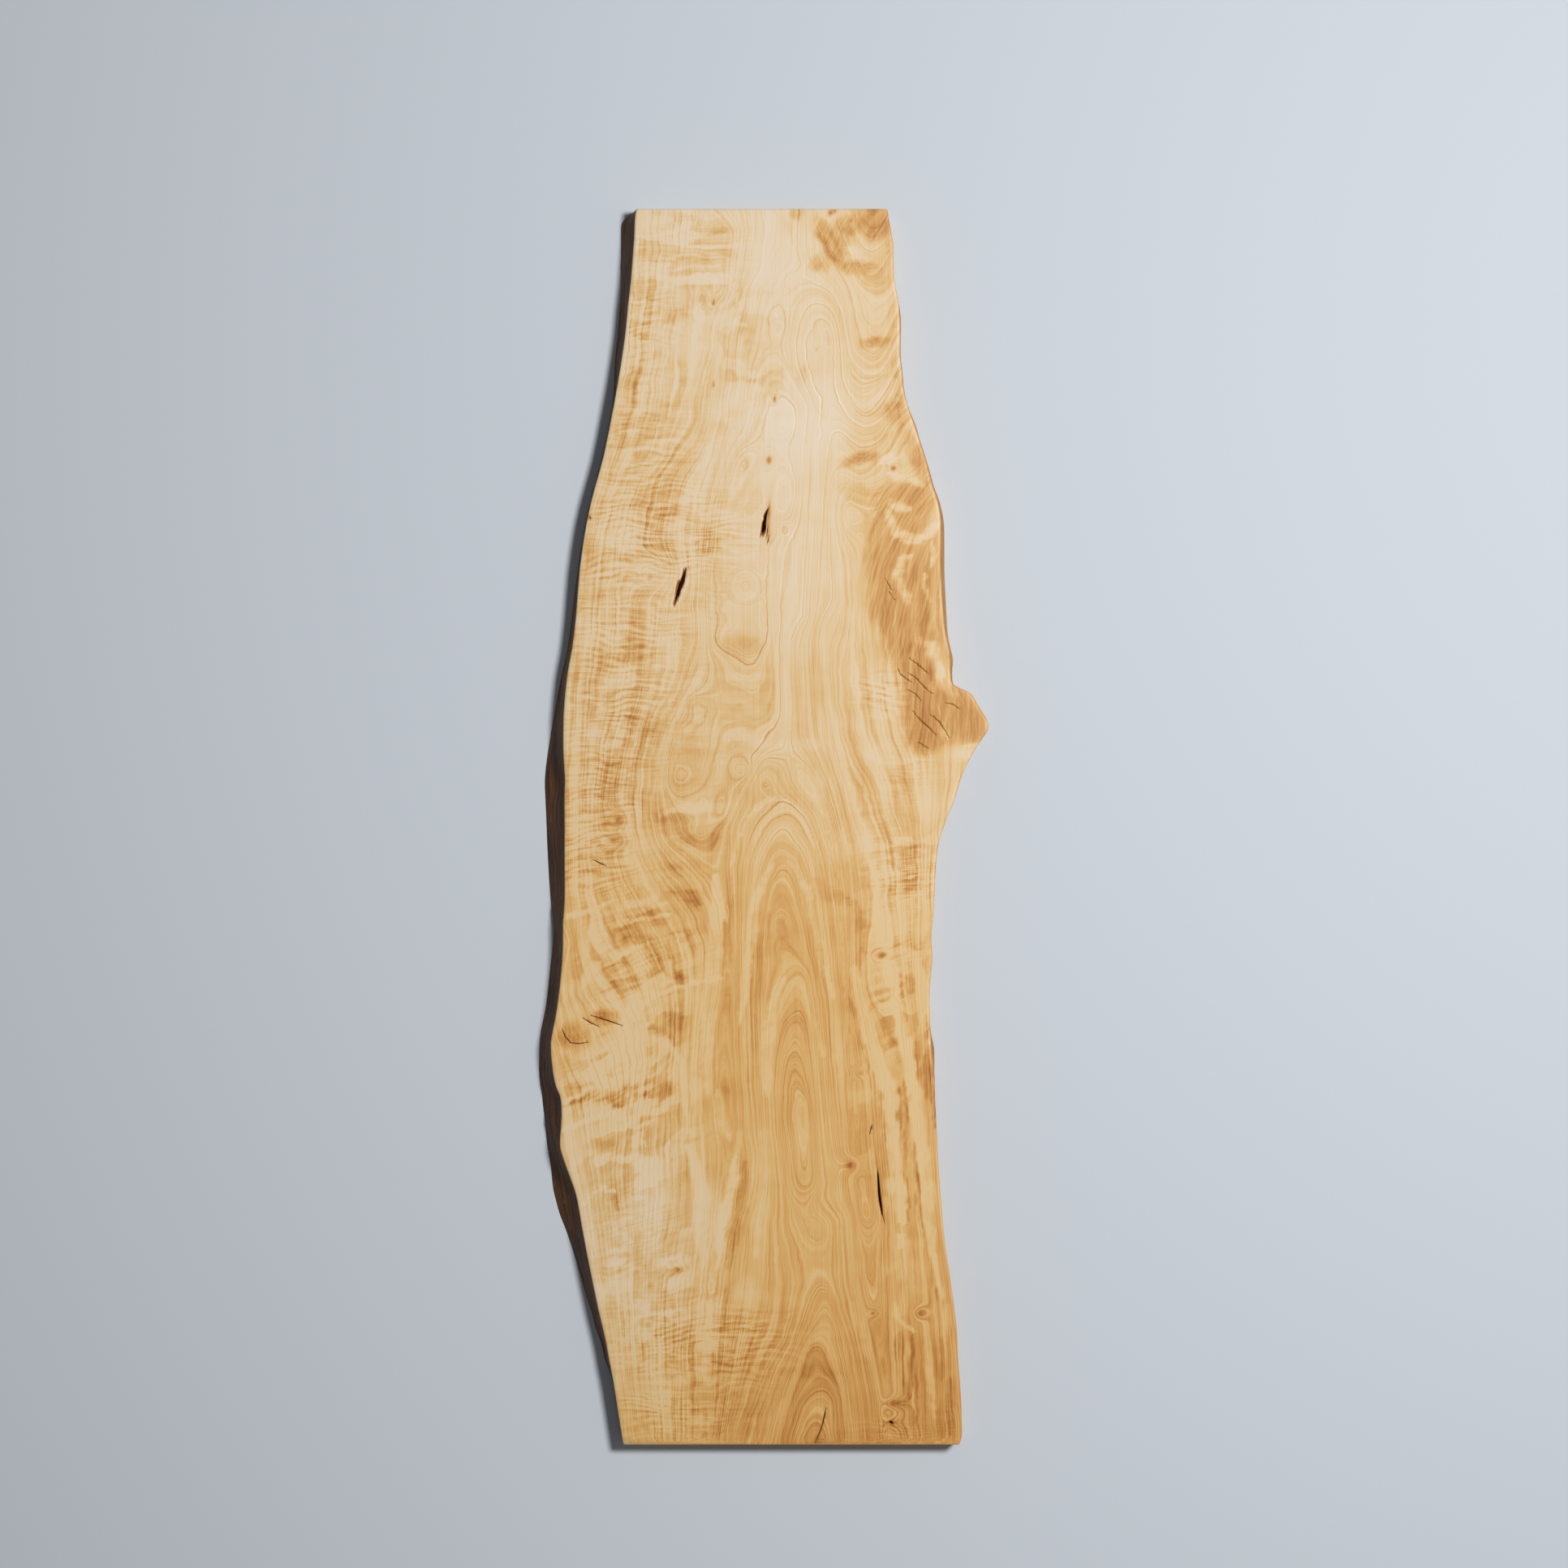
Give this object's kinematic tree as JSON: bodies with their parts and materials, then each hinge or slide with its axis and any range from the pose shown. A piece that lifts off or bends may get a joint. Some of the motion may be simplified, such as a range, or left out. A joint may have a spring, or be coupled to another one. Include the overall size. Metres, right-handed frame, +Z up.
{
  "type": "horse chestnut slab tabletop",
  "caption": "Long live-edge board of pale figured horse chestnut with a burl on one side, small voids and drying cracks, planed flat to be a tabletop.",
  "frame": {"origin": "middle of the underside, on the surface the board lies on", "axes": "+Y along the board from its wide foot end to its narrow head end, +X across it towards the side with the burl, +Z up out of the finished top face"},
  "size_m": [0.8039, 2.2, 0.055],
  "materials": {
    "oiled_horse_chestnut": "satin oil"
  },
  "bodies": {
    "root": {"slab": "oiled_horse_chestnut"}
  },
  "joints": []
}
